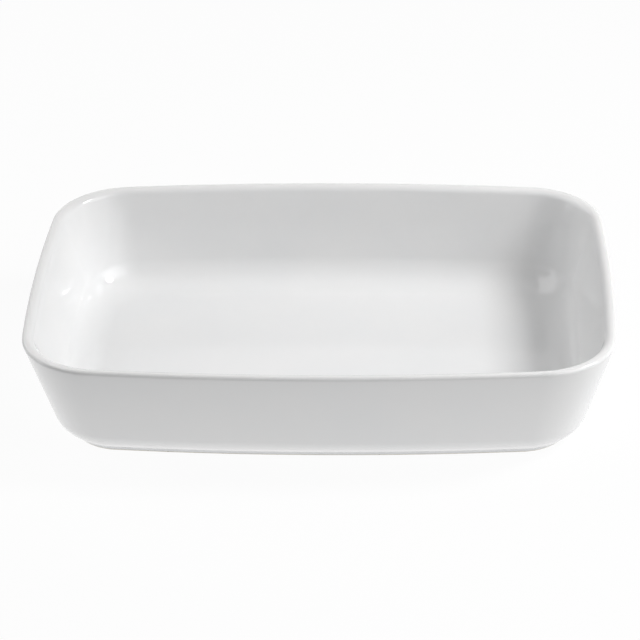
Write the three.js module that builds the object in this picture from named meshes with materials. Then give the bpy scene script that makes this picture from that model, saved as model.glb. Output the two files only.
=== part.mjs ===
// White glazed ceramic baking dish, in millimetres, +Z up.
// The origin is the middle of the dish on the surface that it stands on, with X along its length.
// The dish is a loft: one section, drawn from the middle of the floor over the rim to the middle of the
// underside, is carried round outlines that step inward from the rim. All sizes are over the glaze.
import * as THREE from 'three';

// Rim
const RIM_LENGTH = 330;
const RIM_WIDTH = 230;
const RIM_CORNER_RADIUS = 44;
const RIM_THICKNESS = 3.6;
const HEIGHT = 65;

// The sides bow gently outward, so each of them is a wide arc.
const LONG_SIDE_RADIUS = 1450;
const SHORT_SIDE_RADIUS = 1160;

// Walls, which lean outward and grow thicker from the rim down to the lower fillet
const WALL_DRAFT_DEGREES = 16.5;
const BASE_WALL_THICKNESS = 5;
const LOWER_FILLET_RADIUS = 21;
const COVE_RADIUS = 21;

// Floor and the recessed underside below it
const FLOOR_THICKNESS = 5.2;
const BASE_RECESS = 2.8;
const RECESS_FILLET_RADIUS = 1.2;

// Foot ring, set in from the outline of the rim, with its own rounder corners
const FOOT_INSET = 24.5;
const FOOT_WIDTH = 6;
const FOOT_HEIGHT = 2.6;
const FOOT_CORNER_RADIUS = 27.5;
const FOOT_EDGE_RADIUS = 0.7;

// Glaze, which leaves the lower edge of the foot ring bare
const GLAZE_THICKNESS = 0.4;
const BOND_CLEARANCE = 0.02;
const BARE_FOOT_HEIGHT = 1;

// Facets of each round stretch
const CORNER_STEPS = 10;
const HALF_LONG_SIDE_STEPS = 3;
const HALF_SHORT_SIDE_STEPS = 2;
const QUARTER_RIM_STEPS = 4;
const COVE_STEPS = 6;
const FILLET_STEPS = 6;
const SMALL_EDGE_STEPS = 3;

const QUARTER = Math.PI / 2;
const HALF_TURN = Math.PI;
const FULL_TURN = 2 * Math.PI;

// Points of the arc from one angle to another, either way round
function arc(centre, radius, from, to, steps) {
  return new THREE.EllipseCurve(centre.x, centre.y, radius, radius, from, to, to < from).getPoints(steps);
}

// Outline of the dish, set in from the rim: eight arcs, each tangent to the next.
// One quarter is drawn from the end of the dish to its long side, and mirrored to the other three.
const CORNER_TIGHTENING = (RIM_CORNER_RADIUS - FOOT_CORNER_RADIUS) / FOOT_INSET;

function outline(inset) {
  const cornerRadius = RIM_CORNER_RADIUS - CORNER_TIGHTENING * inset;
  const shortCentre = new THREE.Vector2(RIM_LENGTH / 2 - SHORT_SIDE_RADIUS, 0);
  const longCentre = new THREE.Vector2(0, RIM_WIDTH / 2 - LONG_SIDE_RADIUS);

  // The corner's centre lies at these distances from the centres of both sides.
  const shortReach = SHORT_SIDE_RADIUS - inset - cornerRadius;
  const longReach = LONG_SIDE_RADIUS - inset - cornerRadius;
  const between = shortCentre.clone().sub(longCentre);
  const span = between.length();
  const along = (longReach ** 2 - shortReach ** 2 + span ** 2) / (2 * span);
  const across = Math.sqrt(longReach ** 2 - along ** 2);
  const direction = between.divideScalar(span);
  const corner = longCentre.clone().addScaledVector(direction, along);
  corner.addScaledVector(new THREE.Vector2(direction.y, -direction.x), across);

  const cornerStart = corner.clone().sub(shortCentre).angle();
  const cornerEnd = corner.clone().sub(longCentre).angle();
  const quarter = [
    ...arc(shortCentre, SHORT_SIDE_RADIUS - inset, 0, cornerStart, HALF_SHORT_SIDE_STEPS).slice(0, -1),
    ...arc(corner, cornerRadius, cornerStart, cornerEnd, CORNER_STEPS).slice(0, -1),
    ...arc(longCentre, LONG_SIDE_RADIUS - inset, cornerEnd, QUARTER, HALF_LONG_SIDE_STEPS),
  ];
  const mirrored = quarter.map((point) => new THREE.Vector2(-point.x, point.y)).reverse();
  const half = [...quarter.slice(0, -1), ...mirrored.slice(0, -1)];
  return [...half, ...half.map((point) => point.clone().negate())];
}

// Section: x is the distance in from the rim's outline, and y is the height.
// A depth of 0 follows the face of the glaze, GLAZE_THICKNESS its back, and CLAY_DEPTH the clay under it.
const CLAY_DEPTH = GLAZE_THICKNESS + BOND_CLEARANCE;
const DRAFT = THREE.MathUtils.degToRad(WALL_DRAFT_DEGREES);
const RIM_RADIUS = RIM_THICKNESS / 2;
const FLOOR_HEIGHT = BASE_RECESS + FLOOR_THICKNESS;
const FOOT_INNER = FOOT_INSET + FOOT_WIDTH;
const rimCentre = new THREE.Vector2(RIM_RADIUS, HEIGHT - RIM_RADIUS);
const wallNormal = new THREE.Vector2(Math.cos(DRAFT), Math.sin(DRAFT));
const wallDown = new THREE.Vector2(Math.sin(DRAFT), -Math.cos(DRAFT));

// The lower fillet is tangent to the outer wall and ends at the top of the foot ring.
const footTop = new THREE.Vector2(FOOT_INSET, FOOT_HEIGHT);
const filletStart = rimCentre.clone().addScaledVector(wallNormal, LOWER_FILLET_RADIUS - RIM_RADIUS);
const toFoot = footTop.clone().sub(filletStart);
const footAlong = toFoot.dot(wallDown);
const footAcross = toFoot.dot(wallNormal);
const filletDrop = footAlong - Math.sqrt(LOWER_FILLET_RADIUS ** 2 - footAcross ** 2);
const filletCentre = filletStart.clone().addScaledVector(wallDown, filletDrop);

// The inner wall runs from the rim to the full wall thickness beside the start of the lower fillet.
const thickWall = filletCentre.clone().addScaledVector(wallNormal, BASE_WALL_THICKNESS - LOWER_FILLET_RADIUS);
const toRim = rimCentre.clone().sub(thickWall);
const INNER_DRAFT = Math.atan2(-toRim.x, toRim.y) - Math.asin(RIM_RADIUS / toRim.length());
const innerNormal = new THREE.Vector2(Math.cos(INNER_DRAFT), Math.sin(INNER_DRAFT));
const coveHeight = FLOOR_HEIGHT + COVE_RADIUS;
const coveTop = rimCentre.clone().addScaledVector(innerNormal, RIM_RADIUS + COVE_RADIUS);
const coveCentre = new THREE.Vector2(coveTop.x + (coveTop.y - coveHeight) * Math.tan(INNER_DRAFT), coveHeight);

// The recess fillet fits between the bare edge of the foot ring and the underside.
const recessRadius = Math.min(RECESS_FILLET_RADIUS, BASE_RECESS - BARE_FOOT_HEIGHT);
const recessCentre = new THREE.Vector2(FOOT_INNER + recessRadius, BASE_RECESS - recessRadius);

// From the edge of the flat floor up the inside, over the rim and down to the top of the foot ring
function upperSection(depth) {
  const filletRadius = LOWER_FILLET_RADIUS - depth;
  const footFace = FOOT_INSET + depth - filletCentre.x;
  const filletEnd = FULL_TURN - Math.acos(footFace / filletRadius);
  return [
    ...arc(coveCentre, COVE_RADIUS + depth, HALF_TURN + QUARTER, HALF_TURN + INNER_DRAFT, COVE_STEPS),
    ...arc(rimCentre, RIM_RADIUS - depth, INNER_DRAFT, QUARTER, QUARTER_RIM_STEPS).slice(0, -1),
    ...arc(rimCentre, RIM_RADIUS - depth, QUARTER, HALF_TURN, QUARTER_RIM_STEPS),
    rimCentre.clone().addScaledVector(wallNormal, depth - RIM_RADIUS),
    ...arc(filletCentre, filletRadius, HALF_TURN + DRAFT, filletEnd, FILLET_STEPS),
  ];
}

// From the inner side of the foot ring up into the recess
function recessSection(depth) {
  return arc(recessCentre, recessRadius + depth, HALF_TURN, QUARTER, SMALL_EDGE_STEPS);
}

// The bare clay at the bottom of the foot ring, between the two glaze lines
function bareFootSection() {
  const outer = FOOT_INSET + CLAY_DEPTH;
  const inner = FOOT_INNER - CLAY_DEPTH;
  const outerEdge = new THREE.Vector2(outer + FOOT_EDGE_RADIUS, FOOT_EDGE_RADIUS);
  const innerEdge = new THREE.Vector2(inner - FOOT_EDGE_RADIUS, FOOT_EDGE_RADIUS);
  return [
    new THREE.Vector2(outer, BARE_FOOT_HEIGHT),
    ...arc(outerEdge, FOOT_EDGE_RADIUS, HALF_TURN, HALF_TURN + QUARTER, SMALL_EDGE_STEPS),
    ...arc(innerEdge, FOOT_EDGE_RADIUS, HALF_TURN + QUARTER, FULL_TURN, SMALL_EDGE_STEPS),
    new THREE.Vector2(inner, BARE_FOOT_HEIGHT),
  ];
}

// Closed skin through the outlines of a section, from a point on the upright axis to another below it.
// A patch is split from its wider outline towards the next corner, so that skins laid on each other match.
function loft(topHeight, section, bottomHeight) {
  const outlines = section.map((at) => outline(at.x).map((point) => new THREE.Vector3(point.x, point.y, at.y)));
  const points = [new THREE.Vector3(0, 0, topHeight), ...outlines.flat(), new THREE.Vector3(0, 0, bottomHeight)];
  const count = outlines[0].length;
  const lastPoint = points.length - 1;
  const lastOutline = lastPoint - count;
  const triangles = [];
  for (let i = 0; i < count; i += 1) {
    const next = (i + 1) % count;
    const inMirroredQuarter = Math.floor((4 * i) / count) % 2 === 1;
    triangles.push(0, 1 + i, 1 + next);
    for (let k = 0; k + 1 < section.length; k += 1) {
      const [here, there] = [1 + k * count, 1 + (k + 1) * count];
      const [a, b, c, d] = [here + i, there + i, there + next, here + next];
      const widens = section[k + 1].x < section[k].x;
      triangles.push(...(widens === inMirroredQuarter ? [a, b, c, a, c, d] : [a, b, d, b, c, d]));
    }
    triangles.push(lastOutline + i, lastPoint, lastOutline + next);
  }
  const geometry = new THREE.BufferGeometry().setFromPoints(points);
  geometry.setIndex(triangles);
  geometry.computeVertexNormals();
  return geometry;
}

// Fired clay: the whole shell, bare only at the bottom of its foot ring
function clayBody() {
  const section = [
    ...upperSection(CLAY_DEPTH),
    ...bareFootSection(),
    ...recessSection(CLAY_DEPTH),
  ];
  const geometry = loft(FLOOR_HEIGHT - CLAY_DEPTH, section, BASE_RECESS + CLAY_DEPTH);
  const clay = new THREE.MeshStandardMaterial({ color: 0xe9e4d9, roughness: 0.85, metalness: 0 });
  return new THREE.Mesh(geometry, clay);
}

// Glaze over the inside, the rim and the outside, thinning out at the line above the bare foot
function glazeCoat(glaze) {
  const section = [
    ...upperSection(0),
    new THREE.Vector2(FOOT_INSET, BARE_FOOT_HEIGHT + GLAZE_THICKNESS),
    new THREE.Vector2(FOOT_INSET + GLAZE_THICKNESS, BARE_FOOT_HEIGHT),
    ...upperSection(GLAZE_THICKNESS).reverse(),
  ];
  return new THREE.Mesh(loft(FLOOR_HEIGHT, section, FLOOR_HEIGHT - GLAZE_THICKNESS), glaze);
}

// Glaze on the underside, within the foot ring
function baseGlaze(glaze) {
  const section = [
    ...recessSection(GLAZE_THICKNESS).reverse(),
    new THREE.Vector2(FOOT_INNER - GLAZE_THICKNESS, BARE_FOOT_HEIGHT),
    new THREE.Vector2(FOOT_INNER, BARE_FOOT_HEIGHT + GLAZE_THICKNESS),
    ...recessSection(0),
  ];
  return new THREE.Mesh(loft(BASE_RECESS + GLAZE_THICKNESS, section, BASE_RECESS), glaze);
}

function named(name, mesh) {
  mesh.name = name;
  return mesh;
}

const whiteGlaze = new THREE.MeshStandardMaterial({ color: 0xf3f3f1, roughness: 0.12, metalness: 0 });
const bakingDish = new THREE.Group();
bakingDish.name = 'baking_dish';
bakingDish.add(named('clay_body', clayBody()));
bakingDish.add(named('glaze_coat', glazeCoat(whiteGlaze)));
bakingDish.add(named('base_glaze', baseGlaze(whiteGlaze)));

export default bakingDish;
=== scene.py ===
"""White glazed ceramic baking dish on a pale studio floor, laid out as a Blender add-on.

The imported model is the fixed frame. Its three nodes, the clay body and its two coats of glaze,
are each replaced by a finer piece with a procedural finish. The rim is rolled a little fuller
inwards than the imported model's, and the glaze ends in a small roll on the foot ring.
"""

import math

import bmesh
import bpy
from mathutils import Matrix, Vector


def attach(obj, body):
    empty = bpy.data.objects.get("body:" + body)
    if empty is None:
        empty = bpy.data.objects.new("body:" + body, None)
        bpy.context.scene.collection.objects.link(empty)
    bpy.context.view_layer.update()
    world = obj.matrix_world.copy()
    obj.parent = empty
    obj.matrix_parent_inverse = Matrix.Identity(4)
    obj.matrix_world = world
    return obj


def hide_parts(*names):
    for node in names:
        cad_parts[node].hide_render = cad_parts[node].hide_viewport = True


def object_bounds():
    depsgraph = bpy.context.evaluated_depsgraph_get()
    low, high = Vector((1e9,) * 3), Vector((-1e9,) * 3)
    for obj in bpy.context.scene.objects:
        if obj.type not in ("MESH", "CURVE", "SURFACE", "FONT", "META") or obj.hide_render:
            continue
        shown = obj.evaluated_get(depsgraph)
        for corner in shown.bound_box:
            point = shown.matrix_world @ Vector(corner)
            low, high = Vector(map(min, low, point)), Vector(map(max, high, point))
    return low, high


bl_info = {
    "name": "Glazed Baking Dish",
    "version": (1, 0, 0),
    "blender": (4, 5, 0),
    "location": "3D View > Sidebar > Baking Dish",
    "description": "Builds a white glazed ceramic baking dish and its studio stage",
    "category": "Add Mesh",
}

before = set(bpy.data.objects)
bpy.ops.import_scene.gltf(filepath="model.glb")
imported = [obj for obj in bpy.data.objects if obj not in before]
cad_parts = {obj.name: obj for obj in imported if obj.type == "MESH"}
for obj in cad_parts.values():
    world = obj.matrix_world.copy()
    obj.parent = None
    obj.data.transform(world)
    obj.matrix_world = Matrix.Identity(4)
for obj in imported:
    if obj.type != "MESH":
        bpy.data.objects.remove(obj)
CAD_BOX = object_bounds()

MM = 0.001
QUARTER = math.pi / 2
HALF_TURN = math.pi
FULL_TURN = 2 * math.pi
FINER_THAN_ANY_EDGE = 0.001 * MM
DISH_SPAN = Vector(CAD_BOX[1]) - Vector(CAD_BOX[0])

# Steps of each round or straight stretch, fine enough that reflections stay smooth
HALF_SHORT_SIDE_STEPS = 12
CORNER_STEPS = 28
HALF_LONG_SIDE_STEPS = 16
COVE_STEPS = 26
WALL_STEPS = 8
QUARTER_RIM_STEPS = 9
UNDER_RIM_STEPS = 2
FILLET_STEPS = 24
SMALL_EDGE_STEPS = 5
GLAZE_ROLL_STEPS = 3

# Width of the ring that keeps the shading of a flat face flat
FLAT_MARGIN = 2 * MM

# The glaze's patterns: their real sizes, and the heights of the two that are bumps
CLOUD_SIZE = 38 * MM
CREST_BREAK_SIZE = 7 * MM
GLOSS_PATCH_SIZE = 22 * MM
WAVE_SIZE = 48 * MM
WAVE_HEIGHT = 0.12 * MM
PEEL_SIZE = 1.8 * MM
PEEL_HEIGHT = 0.003 * MM

# The clay's patterns: their real sizes, the levels between which the rub fades, and the grain's height
BLUSH_SIZE = 14 * MM
GRIT_SPACING = 3.2 * MM
SCUFF_SIZE = 5 * MM
RUB_TOP = 0.2 * MM
RUB_BOTTOM = 0.02 * MM
SAND_SIZE = 0.5 * MM
SAND_HEIGHT = 0.08 * MM

CERAMIC_IOR = 1.5

# A Mix node's colour sockets share their names with its number sockets, so they go by place.
MIX_FACTOR = 0
MIX_FIRST = 6
MIX_SECOND = 7
MIXED_COLOUR = 2

# The studio: half the floor's width in metres, and the sensor's width in millimetres
FLOOR_HALF_WIDTH = 6
SENSOR_WIDTH = 36


def linear(hex_colour):
    """An sRGB hex colour as linear red, green and blue."""
    channels = [int(hex_colour[i:i + 2], 16) / 255 for i in (1, 3, 5)]
    return tuple(c / 12.92 if c <= 0.04045 else ((c + 0.055) / 1.055) ** 2.4 for c in channels)


def length(name, description, millimetres):
    """A length that a user may change, given in millimetres."""
    return bpy.props.FloatProperty(
        name=name,
        description=description,
        default=millimetres * MM,
        min=0,
        unit="LENGTH",
        subtype="DISTANCE",
    )


def angle(name, description, degrees):
    """An angle that a user may change, given in degrees."""
    return bpy.props.FloatProperty(
        name=name,
        description=description,
        default=math.radians(degrees),
        unit="ROTATION",
        subtype="ANGLE",
    )


def colour(name, description, hex_colour):
    """A colour that a user may change, given as sRGB hex."""
    return bpy.props.FloatVectorProperty(
        name=name,
        description=description,
        default=linear(hex_colour),
        size=3,
        min=0,
        max=1,
        subtype="COLOR",
    )


class DishSizes(bpy.types.PropertyGroup):
    """Sizes of the dish, measured over the glaze."""

    rim_length: length("Rim length", "Length over the rim", DISH_SPAN.x / MM)
    rim_width: length("Rim width", "Width over the rim", DISH_SPAN.y / MM)
    height: length("Height", "Height from the foot ring to the top of the rim", DISH_SPAN.z / MM)
    rim_corner_radius: length("Rim corner radius", "Radius of the rim's corners", 44)
    rim_outer_radius: length("Rim outer radius", "Radius from the rim's crest to the outer wall", 1.8)
    rim_crest_width: length("Rim crest width", "Width of the rim's level crest", 0.3)
    rim_inner_radius: length("Rim inner radius", "Radius from the rim's crest to the inner wall", 4.6)
    long_side_radius: length("Long side radius", "Radius of the bow of each long side", 1450)
    short_side_radius: length("Short side radius", "Radius of the bow of each short side", 1160)
    wall_draft: angle("Wall draft", "Lean of the outer wall from upright", 16.5)
    base_wall_thickness: length("Base wall thickness", "Wall's thickness above the lower fillet", 5)
    lower_fillet_radius: length("Lower fillet radius", "Radius where the outer wall turns under", 21)
    cove_radius: length("Cove radius", "Radius where the inner wall turns into the floor", 21)
    floor_thickness: length("Floor thickness", "Thickness of the floor over the recess", 5.2)
    base_recess: length("Base recess", "Depth of the recess inside the foot ring", 2.8)
    recess_fillet_radius: length("Recess fillet radius", "Radius inside the foot ring", 1.2)
    foot_inset: length("Foot inset", "Distance of the foot ring in from the rim", 24.5)
    foot_width: length("Foot width", "Width of the foot ring", 6)
    foot_height: length("Foot height", "Height of the foot ring's outer face", 2.6)
    foot_corner_radius: length("Foot corner radius", "Radius of the foot ring's corners", 27.5)
    foot_edge_radius: length("Foot edge radius", "Radius of the foot ring's lower edges", 0.7)
    glaze_thickness: length("Glaze thickness", "Thickness of the glaze", 0.4)
    glaze_roll: length("Glaze roll", "Radius of the glaze's rolled edge on the foot ring", 0.15)
    bond_clearance: length("Bond clearance", "Gap that keeps glaze and clay apart", 0.02)
    bare_foot_height: length("Bare foot height", "Height of the foot's unglazed lower edge", 1)


class DishColours(bpy.types.PropertyGroup):
    """Colours of the glaze and the clay."""

    glaze: colour("Glaze", "White glaze at its usual thickness", "#f2f2f2")
    thick_glaze: colour("Thick glaze", "White glaze where it ran thick", "#eeeff0")
    thin_glaze: colour("Thin glaze", "White glaze where it ran thin over the clay", "#f2f1f0")
    clay: colour("Clay", "Bare fired clay of the foot ring", "#e6e3dc")
    toasted_clay: colour("Toasted clay", "Bare clay that the kiln toasted", "#ddd6c9")
    iron_specks: colour("Iron specks", "Iron grit in the clay", "#77695b")
    shelf_rub: colour("Shelf rub", "Grey rub on the bearing face", "#a5a19a")


class StageSettings(bpy.types.PropertyGroup):
    """Camera, floor and lights."""

    azimuth: angle("Camera azimuth", "Turn of the camera round the dish", 2.643)
    elevation: angle("Camera elevation", "Height of the camera above the horizon", 29.989)
    roll: angle("Camera roll", "Lean of the camera", -1.153)
    distance: length("Camera distance", "Distance of the camera from its aim", 1495.2)
    aim_across: bpy.props.FloatProperty(
        name="Aim across",
        description="Sideways place of the aim",
        default=-1.795 * MM,
        unit="LENGTH",
    )
    aim_height: length("Aim height", "Height of the aim", 34.55)
    lens: bpy.props.FloatProperty(
        name="Focal length",
        description="Focal length on a 36 mm sensor",
        default=145.95,
        unit="CAMERA",
    )
    floor: colour("Floor", "White paper of the floor", "#f7f7f7")
    floor_whiteness: bpy.props.FloatProperty(
        name="Floor whiteness",
        description="How far the floor is plain white, and not paper that takes a shadow",
        default=0.93,
        subtype="FACTOR",
    )
    # The floor's painted pool of light: how far its glow reaches round the dish, and its soft edge
    painted_light_pool: length("Light pool", "Reach of the lit floor that lights the dish from below", 300)
    pool_edge: length("Pool edge", "Width of the soft edge of the lit floor", 390)


class Section:
    """The dish's upright section: x is the distance in from the rim's outline, and y the height."""

    def __init__(self, sizes):
        self.sizes = sizes
        self.floor_height = sizes.base_recess + sizes.floor_thickness
        self.foot_inner = sizes.foot_inset + sizes.foot_width
        self.clay_depth = sizes.glaze_thickness + sizes.bond_clearance
        self.rim_outer = Vector((sizes.rim_outer_radius, sizes.height - sizes.rim_outer_radius))
        crest_end = sizes.rim_outer_radius + sizes.rim_crest_width
        self.rim_inner = Vector((crest_end, sizes.height - sizes.rim_inner_radius))

        # The lower fillet is tangent to the outer wall and ends at the top of the foot ring.
        draft = sizes.wall_draft
        wall_normal = Vector((math.cos(draft), math.sin(draft)))
        wall_down = Vector((math.sin(draft), -math.cos(draft)))
        fillet = sizes.lower_fillet_radius
        fillet_start = self.rim_outer + wall_normal * (fillet - sizes.rim_outer_radius)
        to_foot = Vector((sizes.foot_inset, sizes.foot_height)) - fillet_start
        drop = to_foot.dot(wall_down) - math.sqrt(fillet**2 - to_foot.dot(wall_normal) ** 2)
        self.fillet_centre = fillet_start + wall_down * drop

        # The inner wall runs from the rim to the full thickness beside the start of the lower fillet.
        wall_foot = self.fillet_centre + wall_normal * (sizes.base_wall_thickness - fillet)
        to_rim = self.rim_inner - wall_foot
        lean = math.atan2(-to_rim.x, to_rim.y)
        self.inner_draft = lean - math.asin(sizes.rim_inner_radius / to_rim.length)
        cove = sizes.cove_radius
        inner_normal = Vector((math.cos(self.inner_draft), math.sin(self.inner_draft)))
        cove_top = self.rim_inner + inner_normal * (sizes.rim_inner_radius + cove)
        cove_height = self.floor_height + cove
        cove_inset = cove_top.x + (cove_top.y - cove_height) * math.tan(self.inner_draft)
        self.cove_centre = Vector((cove_inset, cove_height))

        # The recess fillet fits between the bare edge of the foot ring and the underside.
        glazed_depth = sizes.base_recess - sizes.bare_foot_height
        self.recess_radius = min(sizes.recess_fillet_radius, glazed_depth)
        recess_corner = Vector((self.foot_inner, sizes.base_recess))
        self.recess_centre = recess_corner + self.recess_radius * Vector((1, -1))

    def upper(self, depth):
        """From the edge of the flat floor up the inside, over the rim and down to the foot ring."""
        draft = self.sizes.wall_draft
        fillet = self.sizes.lower_fillet_radius - depth
        foot_face = self.sizes.foot_inset + depth - self.fillet_centre.x
        fillet_end = FULL_TURN - math.acos(foot_face / fillet)
        floor_edge = HALF_TURN + QUARTER
        cove_end = HALF_TURN + self.inner_draft
        cove = arc(self.cove_centre, self.sizes.cove_radius + depth, floor_edge, cove_end, COVE_STEPS)
        inner_radius = self.sizes.rim_inner_radius - depth
        outer_radius = self.sizes.rim_outer_radius - depth
        rim_inside = arc(self.rim_inner, inner_radius, self.inner_draft, QUARTER, QUARTER_RIM_STEPS)
        rim_outside = arc(self.rim_outer, outer_radius, QUARTER, HALF_TURN, QUARTER_RIM_STEPS)
        under_rim = arc(self.rim_outer, outer_radius, HALF_TURN, HALF_TURN + draft, UNDER_RIM_STEPS)
        lower_fillet = arc(self.fillet_centre, fillet, HALF_TURN + draft, fillet_end, FILLET_STEPS)
        rim = rim_inside + rim_outside + under_rim[1:]
        inner_wall = straight(cove[-1], rim[0], WALL_STEPS)
        outer_wall = straight(rim[-1], lower_fillet[0], WALL_STEPS)
        return cove + inner_wall[1:-1] + rim + outer_wall[1:-1] + lower_fillet

    def bare_foot(self):
        """The bare clay at the bottom of the foot ring, between the two glaze lines."""
        edge = self.sizes.foot_edge_radius
        outer = self.sizes.foot_inset + self.clay_depth
        inner = self.foot_inner - self.clay_depth
        lowest = HALF_TURN + QUARTER
        outer_edge = arc(Vector((outer + edge, edge)), edge, HALF_TURN, lowest, SMALL_EDGE_STEPS)
        inner_edge = arc(Vector((inner - edge, edge)), edge, lowest, FULL_TURN, SMALL_EDGE_STEPS)
        glaze_line = self.sizes.bare_foot_height
        return [Vector((outer, glaze_line)), *outer_edge, *inner_edge, Vector((inner, glaze_line))]

    def recess(self, depth):
        """From the inner side of the foot ring up into the recess."""
        radius = self.recess_radius + depth
        return arc(self.recess_centre, radius, HALF_TURN, QUARTER, SMALL_EDGE_STEPS)


def arc(centre, radius, start, end, steps):
    """Points of a section's arc from one angle to another."""
    turns = [start + (end - start) * i / steps for i in range(steps + 1)]
    return [centre + radius * Vector((math.cos(turn), math.sin(turn))) for turn in turns]


def straight(start, end, steps):
    """Points of a section's straight stretch."""
    return [start.lerp(end, i / steps) for i in range(steps + 1)]


def quarter_outline(bm, sizes, inset, height):
    """One quarter of the outline, set in from the rim: a vertex spun through its three arcs."""
    tightening = (sizes.rim_corner_radius - sizes.foot_corner_radius) / sizes.foot_inset
    corner_radius = sizes.rim_corner_radius - tightening * inset
    short_centre = Vector((sizes.rim_length / 2 - sizes.short_side_radius, 0))
    long_centre = Vector((0, sizes.rim_width / 2 - sizes.long_side_radius))

    # The corner's centre lies at these distances from the centres of both sides.
    short_reach = sizes.short_side_radius - inset - corner_radius
    long_reach = sizes.long_side_radius - inset - corner_radius
    between = short_centre - long_centre
    span = between.length
    along = (long_reach**2 - short_reach**2 + span**2) / (2 * span)
    across = math.sqrt(long_reach**2 - along**2)
    direction = between / span
    corner = long_centre + direction * along + Vector((direction.y, -direction.x)) * across

    corner_start = math.atan2(corner.y, corner.x - short_centre.x)
    corner_end = math.atan2(corner.y - long_centre.y, corner.x)
    first_edge = len(bm.edges)
    tip = [bm.verts.new((sizes.rim_length / 2 - inset, 0, height))]
    for centre, sweep, steps in (
        (short_centre, corner_start, HALF_SHORT_SIDE_STEPS),
        (corner, corner_end - corner_start, CORNER_STEPS),
        (long_centre, QUARTER - corner_end, HALF_LONG_SIDE_STEPS),
    ):
        pivot = (centre.x, centre.y, height)
        turned = bmesh.ops.spin(bm, geom=tip, cent=pivot, axis=(0, 0, 1), angle=sweep, steps=steps)
        tip = turned["geom_last"]
    bm.edges.ensure_lookup_table()
    return bm.edges[first_edge:]


def loft(bm, sizes, section):
    """Skins a section with quarter outlines and mirrors the quarter to the whole dish."""
    outlines = [quarter_outline(bm, sizes, point.x, point.y) for point in section]
    for lower, upper in zip(outlines, outlines[1:]):
        bmesh.ops.bridge_loops(bm, edges=lower + upper)
    for axis in ("X", "Y"):
        whole = bm.verts[:] + bm.edges[:] + bm.faces[:]
        bmesh.ops.mirror(bm, geom=whole, matrix=Matrix(), merge_dist=FINER_THAN_ANY_EDGE, axis=axis)
    bmesh.ops.remove_doubles(bm, verts=bm.verts[:], dist=FINER_THAN_ANY_EDGE)


def lies_at(edge, height):
    """Whether both ends of an edge are at a height."""
    return all(abs(vert.co.z - height) < FINER_THAN_ANY_EDGE for vert in edge.verts)


def fill_flat(bm, height):
    """Fills the open loop at a height, with a ring set in from its edge that keeps the flat flat."""
    loop = [edge for edge in bm.edges if edge.is_boundary and lies_at(edge, height)]
    flat = bmesh.ops.edgeloop_fill(bm, edges=loop)["faces"]
    bmesh.ops.inset_region(bm, faces=flat, thickness=FLAT_MARGIN, use_even_offset=True)


def roll_edge(bm, height, radius):
    """Rounds the end of a coat of glaze at a height, as melted glass rounds itself."""
    rim = [
        edge
        for edge in bm.edges
        if lies_at(edge, height) and edge.calc_face_angle(0) > QUARTER / 2
    ]
    if not rim:
        raise RuntimeError("The glaze has no edge to round")
    bmesh.ops.bevel(
        bm,
        geom=rim,
        offset=radius,
        affect="EDGES",
        segments=GLAZE_ROLL_STEPS,
        profile=0.5,
        material=-1,
    )


def finish_piece(bm, name, node, material):
    """Turns a bmesh into a smooth piece that stands for a CAD node and rides on the dish."""
    for face in bm.faces:
        face.smooth = True
    mesh = bpy.data.meshes.new(name)
    bm.to_mesh(mesh)
    bm.free()
    mesh.materials.append(material)
    piece = bpy.data.objects.new(name, mesh)
    bpy.context.scene.collection.objects.link(piece)
    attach(piece, "root")
    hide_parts(node)


def add_node(tree, kind, inputs=None, **settings):
    """Adds a node with its settings, and links its inputs to sockets or gives them values."""
    node = tree.nodes.new(kind)
    for name, value in settings.items():
        setattr(node, name, value)
    for key, value in (inputs or {}).items():
        if isinstance(value, bpy.types.NodeSocket):
            tree.links.new(value, node.inputs[key])
        else:
            node.inputs[key].default_value = value
    return node


def new_material(name):
    """An empty node material and its tree."""
    material = bpy.data.materials.new(name)
    material.use_nodes = True
    material.node_tree.nodes.clear()
    return material, material.node_tree


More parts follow.
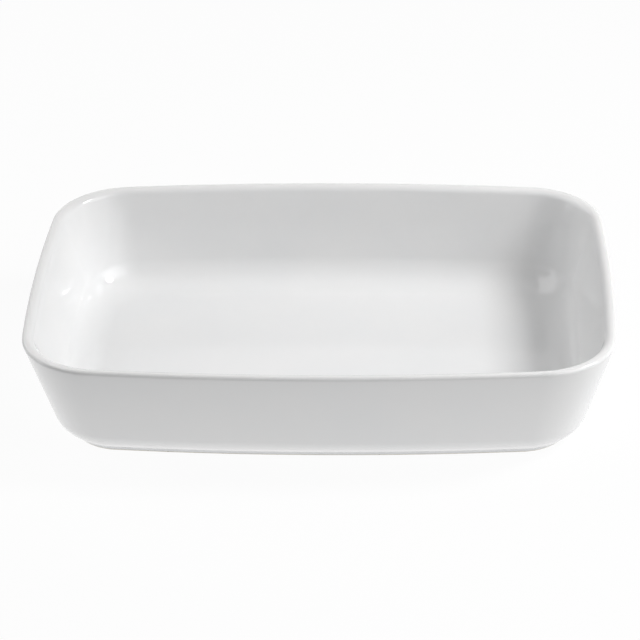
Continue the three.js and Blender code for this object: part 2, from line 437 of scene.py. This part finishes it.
def glaze_material(sizes, colours):
    """White stoneware glaze, dipped and fired to a glassy coat, the same on both coats."""
    # An opaque, glassy white. It mirrors the studio softly, in the slow waves of a dipped coat and
    # the fine orange peel of fired glass. It is a little greyer where it ran thick, and a little
    # warmer on the rim's crest, where it ran thin over the clay.
    name = "White stoneware glaze"
    if name in bpy.data.materials:
        return bpy.data.materials[name]
    material, tree = new_material(name)
    place = add_node(tree, "ShaderNodeTexCoord").outputs["Object"]
    height = add_node(tree, "ShaderNodeSeparateXYZ", {"Vector": place}).outputs["Z"]

    clouds = add_node(
        tree,
        "ShaderNodeTexNoise",
        {"Vector": place, "Scale": 1 / CLOUD_SIZE, "Detail": 3},
    )
    thick = add_node(
        tree,
        "ShaderNodeMapRange",
        {"Value": clouds.outputs["Fac"], "From Min": 0.35, "From Max": 0.7, "To Max": 0.45},
    )
    pooled = add_node(
        tree,
        "ShaderNodeMapRange",
        {"Value": height, "From Min": sizes.foot_height * 2, "From Max": sizes.bare_foot_height},
        interpolation_type="SMOOTHSTEP",
    )
    coat = add_node(
        tree,
        "ShaderNodeMath",
        {0: thick.outputs["Result"], 1: pooled.outputs["Result"]},
        operation="MAXIMUM",
    )
    body = add_node(
        tree,
        "ShaderNodeMix",
        {
            MIX_FACTOR: coat.outputs[0],
            MIX_FIRST: (*colours.glaze, 1),
            MIX_SECOND: (*colours.thick_glaze, 1),
        },
        data_type="RGBA",
    )

    breaks = add_node(
        tree,
        "ShaderNodeTexNoise",
        {"Vector": place, "Scale": 1 / CREST_BREAK_SIZE, "Detail": 2},
    )
    crest = add_node(
        tree,
        "ShaderNodeMapRange",
        {"Value": height, "From Min": sizes.height - sizes.rim_outer_radius, "From Max": sizes.height},
        interpolation_type="SMOOTHSTEP",
    )
    thin = add_node(
        tree,
        "ShaderNodeMath",
        {0: crest.outputs["Result"], 1: breaks.outputs["Fac"]},
        operation="MULTIPLY",
    )
    tone = add_node(
        tree,
        "ShaderNodeMix",
        {
            MIX_FACTOR: thin.outputs[0],
            MIX_FIRST: body.outputs[MIXED_COLOUR],
            MIX_SECOND: (*colours.thin_glaze, 1),
        },
        data_type="RGBA",
    )

    gloss = add_node(
        tree,
        "ShaderNodeTexNoise",
        {"Vector": place, "Scale": 1 / GLOSS_PATCH_SIZE, "Detail": 2},
    )
    roughness = add_node(
        tree,
        "ShaderNodeMapRange",
        {
            "Value": gloss.outputs["Fac"],
            "From Min": 0.3,
            "From Max": 0.7,
            "To Min": 0.045,
            "To Max": 0.075,
        },
    )

    waves = add_node(
        tree,
        "ShaderNodeTexNoise",
        {"Vector": place, "Scale": 1 / WAVE_SIZE, "Detail": 1},
    )
    wavy = add_node(
        tree,
        "ShaderNodeBump",
        {"Height": waves.outputs["Fac"], "Distance": WAVE_HEIGHT},
    )
    peel = add_node(
        tree,
        "ShaderNodeTexNoise",
        {"Vector": place, "Scale": 1 / PEEL_SIZE, "Detail": 1},
    )
    skin = add_node(
        tree,
        "ShaderNodeBump",
        {"Height": peel.outputs["Fac"], "Distance": PEEL_HEIGHT, "Normal": wavy.outputs["Normal"]},
    )
    shader = add_node(
        tree,
        "ShaderNodeBsdfPrincipled",
        {
            "Base Color": tone.outputs[2],
            "Roughness": roughness.outputs["Result"],
            "IOR": CERAMIC_IOR,
            "Normal": skin.outputs["Normal"],
        },
    )
    add_node(tree, "ShaderNodeOutputMaterial", {"Surface": shader.outputs["BSDF"]})
    return material


def clay_material(colours):
    """Fired stoneware clay, sponged bare under the foot."""
    # A matt, off-white, sandy clay. It has a fine grain, a few dark iron specks, and a grey rub on
    # the bearing face from the shelves that it slides over.
    material, tree = new_material("Bare stoneware clay")
    place = add_node(tree, "ShaderNodeTexCoord").outputs["Object"]
    height = add_node(tree, "ShaderNodeSeparateXYZ", {"Vector": place}).outputs["Z"]

    blush = add_node(
        tree,
        "ShaderNodeTexNoise",
        {"Vector": place, "Scale": 1 / BLUSH_SIZE, "Detail": 4},
    )
    body = add_node(
        tree,
        "ShaderNodeMix",
        {
            MIX_FACTOR: blush.outputs["Fac"],
            MIX_FIRST: (*colours.clay, 1),
            MIX_SECOND: (*colours.toasted_clay, 1),
        },
        data_type="RGBA",
    )

    grit = add_node(tree, "ShaderNodeTexVoronoi", {"Vector": place, "Scale": 1 / GRIT_SPACING})
    specks = add_node(
        tree,
        "ShaderNodeMapRange",
        {"Value": grit.outputs["Distance"], "From Min": 0.12, "From Max": 0.06, "To Max": 0.7},
    )
    specked = add_node(
        tree,
        "ShaderNodeMix",
        {
            MIX_FACTOR: specks.outputs["Result"],
            MIX_FIRST: body.outputs[MIXED_COLOUR],
            MIX_SECOND: (*colours.iron_specks, 1),
        },
        data_type="RGBA",
    )

    scuffs = add_node(
        tree,
        "ShaderNodeTexNoise",
        {"Vector": place, "Scale": 1 / SCUFF_SIZE, "Detail": 4},
    )
    bearing = add_node(
        tree,
        "ShaderNodeMapRange",
        {"Value": height, "From Min": RUB_TOP, "From Max": RUB_BOTTOM, "To Max": 0.6},
    )
    rubbed = add_node(
        tree,
        "ShaderNodeMath",
        {0: bearing.outputs["Result"], 1: scuffs.outputs["Fac"]},
        operation="MULTIPLY",
    )
    tone = add_node(
        tree,
        "ShaderNodeMix",
        {
            MIX_FACTOR: rubbed.outputs[0],
            MIX_FIRST: specked.outputs[MIXED_COLOUR],
            MIX_SECOND: (*colours.shelf_rub, 1),
        },
        data_type="RGBA",
    )

    sand = add_node(
        tree,
        "ShaderNodeTexNoise",
        {"Vector": place, "Scale": 1 / SAND_SIZE, "Detail": 3},
    )
    grain = add_node(
        tree,
        "ShaderNodeBump",
        {"Height": sand.outputs["Fac"], "Distance": SAND_HEIGHT},
    )
    roughness = add_node(
        tree,
        "ShaderNodeMapRange",
        {"Value": sand.outputs["Fac"], "To Min": 0.75, "To Max": 0.95},
    )
    shader = add_node(
        tree,
        "ShaderNodeBsdfPrincipled",
        {
            "Base Color": tone.outputs[2],
            "Roughness": roughness.outputs["Result"],
            "IOR": CERAMIC_IOR,
            "Normal": grain.outputs["Normal"],
        },
    )
    add_node(tree, "ShaderNodeOutputMaterial", {"Surface": shader.outputs["BSDF"]})
    return material


class DISH_OT_clay_body(bpy.types.Operator):
    """Builds the fired clay body, which shows only at the bare edge of its foot ring"""

    bl_idname = "baking_dish.clay_body"
    bl_label = "Clay Body"

    def execute(self, context):
        sizes = context.scene.dish_sizes
        colours = context.scene.dish_colours
        section = Section(sizes)
        depth = section.clay_depth
        bm = bmesh.new()
        loft(bm, sizes, section.upper(depth) + section.bare_foot() + section.recess(depth))
        fill_flat(bm, section.floor_height - depth)
        fill_flat(bm, sizes.base_recess + depth)
        bmesh.ops.recalc_face_normals(bm, faces=bm.faces[:])
        clay = clay_material(colours)
        finish_piece(bm, "clay_body_fine", "clay_body", clay)
        return {"FINISHED"}


class DISH_OT_glaze_coat(bpy.types.Operator):
    """Builds the glaze over the inside, the rim and the outside of the dish"""

    bl_idname = "baking_dish.glaze_coat"
    bl_label = "Glaze Coat"

    def execute(self, context):
        sizes = context.scene.dish_sizes
        colours = context.scene.dish_colours
        section = Section(sizes)
        glaze_line = Vector((sizes.foot_inset, sizes.bare_foot_height))
        bm = bmesh.new()
        loft(bm, sizes, [*section.upper(0), glaze_line])
        fill_flat(bm, section.floor_height)
        bmesh.ops.recalc_face_normals(bm, faces=bm.faces[:])
        bmesh.ops.solidify(bm, geom=bm.faces[:], thickness=sizes.glaze_thickness)
        roll_edge(bm, sizes.bare_foot_height, sizes.glaze_roll)
        glaze = glaze_material(sizes, colours)
        finish_piece(bm, "glaze_coat_fine", "glaze_coat", glaze)
        return {"FINISHED"}


class DISH_OT_base_glaze(bpy.types.Operator):
    """Builds the glaze on the underside, within the foot ring"""

    bl_idname = "baking_dish.base_glaze"
    bl_label = "Base Glaze"

    def execute(self, context):
        sizes = context.scene.dish_sizes
        colours = context.scene.dish_colours
        section = Section(sizes)
        glaze_line = Vector((section.foot_inner, sizes.bare_foot_height))
        bm = bmesh.new()
        loft(bm, sizes, [glaze_line, *section.recess(0)])
        fill_flat(bm, sizes.base_recess)
        bmesh.ops.recalc_face_normals(bm, faces=bm.faces[:])
        bmesh.ops.solidify(bm, geom=bm.faces[:], thickness=sizes.glaze_thickness)
        roll_edge(bm, sizes.bare_foot_height, sizes.glaze_roll)
        glaze = glaze_material(sizes, colours)
        finish_piece(bm, "base_glaze_fine", "base_glaze", glaze)
        return {"FINISHED"}


class DISH_OT_stage(bpy.types.Operator):
    """Sets up the white floor, the studio lights and the camera"""

    bl_idname = "baking_dish.stage"
    bl_label = "Stage"

    def execute(self, context):
        stage = context.scene.dish_stage
        self.floor(context, stage)
        self.world(context)
        box = self.softbox
        box(context, "Key", azimuth=3, elevation=45, distance=1.3, size=(0.24, 0.34), watts=7.2)
        box(context, "Side", azimuth=-22, elevation=37, distance=1.4, size=(1.2, 1), watts=9.7)
        box(context, "Fill", azimuth=157, elevation=42, distance=1.4, size=(1.4, 1), watts=8.2)
        box(context, "Low", azimuth=174, elevation=12, distance=1.4, size=(1, 0.5), watts=1.9)
        box(context, "Strip", azimuth=189, elevation=8, distance=1.4, size=(0.3, 0.4), watts=0.4)
        box(context, "Overhead", azimuth=0, elevation=90, distance=1.4, size=(1.2, 0.8), watts=1.2)
        self.camera(context, stage)
        context.scene.view_settings.view_transform = "Standard"
        return {"FINISHED"}

    def floor(self, context, stage):
        """A wide sheet of white paper, nearly as white as the backdrop, which glows with a painted pool
        of light and so lights the dish from below.

        It is clear from beneath, so that the foot and the underside can be looked at.
        """
        bm = bmesh.new()
        bmesh.ops.create_grid(bm, x_segments=1, y_segments=1, size=FLOOR_HALF_WIDTH)
        mesh = bpy.data.meshes.new("studio_floor")
        bm.to_mesh(mesh)
        bm.free()
        material, tree = new_material("White paper floor")
        paper = add_node(tree, "ShaderNodeBsdfDiffuse", {"Color": (*stage.floor, 1)})
        place = add_node(tree, "ShaderNodeTexCoord").outputs["Object"]
        reach = add_node(tree, "ShaderNodeVectorMath", {0: place}, operation="LENGTH").outputs["Value"]
        # A painted pool of light: for light on the dish the floor glows, fully near the dish and fading
        # over the pool's edge, in place of lamp light bounced off the floor.
        pool_end = stage.painted_light_pool + stage.pool_edge
        pool = add_node(
            tree,
            "ShaderNodeMapRange",
            {"Value": reach, "From Min": pool_end, "From Max": stage.painted_light_pool},
            interpolation_type="SMOOTHSTEP",
        )
        level = add_node(
            tree,
            "ShaderNodeMath",
            {0: pool.outputs["Result"], 1: self.seen(tree)},
            operation="MAXIMUM",
        )
        # The glow: plain white to the camera and in reflections, and the painted pool of light for light
        # on the dish.
        white = add_node(tree, "ShaderNodeEmission", {"Strength": level.outputs[0]})
        surface = add_node(
            tree,
            "ShaderNodeMixShader",
            {0: stage.floor_whiteness, 1: paper.outputs[0], 2: white.outputs[0]},
        )
        beneath = add_node(tree, "ShaderNodeNewGeometry").outputs["Backfacing"]
        clear = add_node(tree, "ShaderNodeBsdfTransparent")
        sheet = add_node(
            tree,
            "ShaderNodeMixShader",
            {0: beneath, 1: surface.outputs[0], 2: clear.outputs[0]},
        )
        add_node(tree, "ShaderNodeOutputMaterial", {"Surface": sheet.outputs[0]})
        mesh.materials.append(material)
        floor = bpy.data.objects.new("studio_floor", mesh)
        context.scene.collection.objects.link(floor)

    def world(self, context):
        """White to the camera and in reflections, and no light of its own on the dish."""
        world = bpy.data.worlds.new("Studio")
        world.use_nodes = True
        tree = world.node_tree
        tree.nodes.clear()
        white = add_node(
            tree,
            "ShaderNodeBackground",
            {"Color": (1, 1, 1, 1), "Strength": self.seen(tree)},
        )
        add_node(tree, "ShaderNodeOutputWorld", {"Surface": white.outputs[0]})
        context.scene.world = world

    def seen(self, tree):
        """1 for what the camera sees, itself or in gloss or glass, and 0 for light on the dish."""
        path = add_node(tree, "ShaderNodeLightPath")
        mirrored = add_node(
            tree,
            "ShaderNodeMath",
            {0: path.outputs["Is Glossy Ray"], 1: path.outputs["Is Transmission Ray"]},
            operation="MAXIMUM",
        )
        seen = add_node(
            tree,
            "ShaderNodeMath",
            {0: mirrored.outputs[0], 1: path.outputs["Is Camera Ray"]},
            operation="MAXIMUM",
        )
        return seen.outputs[0]

    def softbox(self, context, name, azimuth, elevation, distance, size, watts):
        """A soft lamp that looks at the dish, placed in degrees and metres."""
        lamp = bpy.data.lights.new(f"{name} softbox", "AREA")
        lamp.shape = "RECTANGLE"
        lamp.size, lamp.size_y = size
        lamp.energy = watts
        softbox = bpy.data.objects.new(lamp.name, lamp)
        context.scene.collection.objects.link(softbox)
        turn = Matrix.Rotation(math.radians(azimuth) + QUARTER, 4, "Z")
        rise = Matrix.Rotation(QUARTER - math.radians(elevation), 4, "X")
        softbox.matrix_world = turn @ rise @ Matrix.Translation((0, 0, distance))

    def camera(self, context, stage):
        """The camera looks at its aim from its azimuth and elevation, and leans by its roll."""
        lens = bpy.data.cameras.new("Camera")
        lens.sensor_width = SENSOR_WIDTH
        lens.lens = stage.lens
        camera = bpy.data.objects.new("Camera", lens)
        context.scene.collection.objects.link(camera)
        aim = Matrix.Translation((stage.aim_across, 0, stage.aim_height))
        turn = Matrix.Rotation(stage.azimuth, 4, "Z")
        rise = Matrix.Rotation(QUARTER - stage.elevation, 4, "X")
        back = Matrix.Translation((0, 0, stage.distance))
        roll = Matrix.Rotation(stage.roll, 4, "Z")
        camera.matrix_world = aim @ (turn @ rise) @ back @ roll
        context.scene.camera = camera


class DISH_PT_sidebar(bpy.types.Panel):
    """Lists the dish's sizes, colours and pieces in the sidebar"""

    bl_label = "Baking Dish"
    bl_idname = "DISH_PT_sidebar"
    bl_space_type = "VIEW_3D"
    bl_region_type = "UI"
    bl_category = "Baking Dish"

    def draw(self, context):
        scene = context.scene
        for settings in (scene.dish_sizes, scene.dish_colours, scene.dish_stage):
            box = self.layout.box()
            for name in settings.__annotations__:
                box.prop(settings, name)
        for operator in OPERATORS:
            self.layout.operator(operator.bl_idname)


OPERATORS = (DISH_OT_clay_body, DISH_OT_glaze_coat, DISH_OT_base_glaze, DISH_OT_stage)
CLASSES = (DishSizes, DishColours, StageSettings, *OPERATORS, DISH_PT_sidebar)


def register():
    for cls in CLASSES:
        bpy.utils.register_class(cls)
    bpy.types.Scene.dish_sizes = bpy.props.PointerProperty(type=DishSizes)
    bpy.types.Scene.dish_colours = bpy.props.PointerProperty(type=DishColours)
    bpy.types.Scene.dish_stage = bpy.props.PointerProperty(type=StageSettings)


def unregister():
    del bpy.types.Scene.dish_stage
    del bpy.types.Scene.dish_colours
    del bpy.types.Scene.dish_sizes
    for cls in reversed(CLASSES):
        bpy.utils.unregister_class(cls)


def main():
    register()
    bpy.ops.baking_dish.clay_body()
    bpy.ops.baking_dish.glaze_coat()
    bpy.ops.baking_dish.base_glaze()
    bpy.ops.baking_dish.stage()


if __name__ == "__main__":
    main()
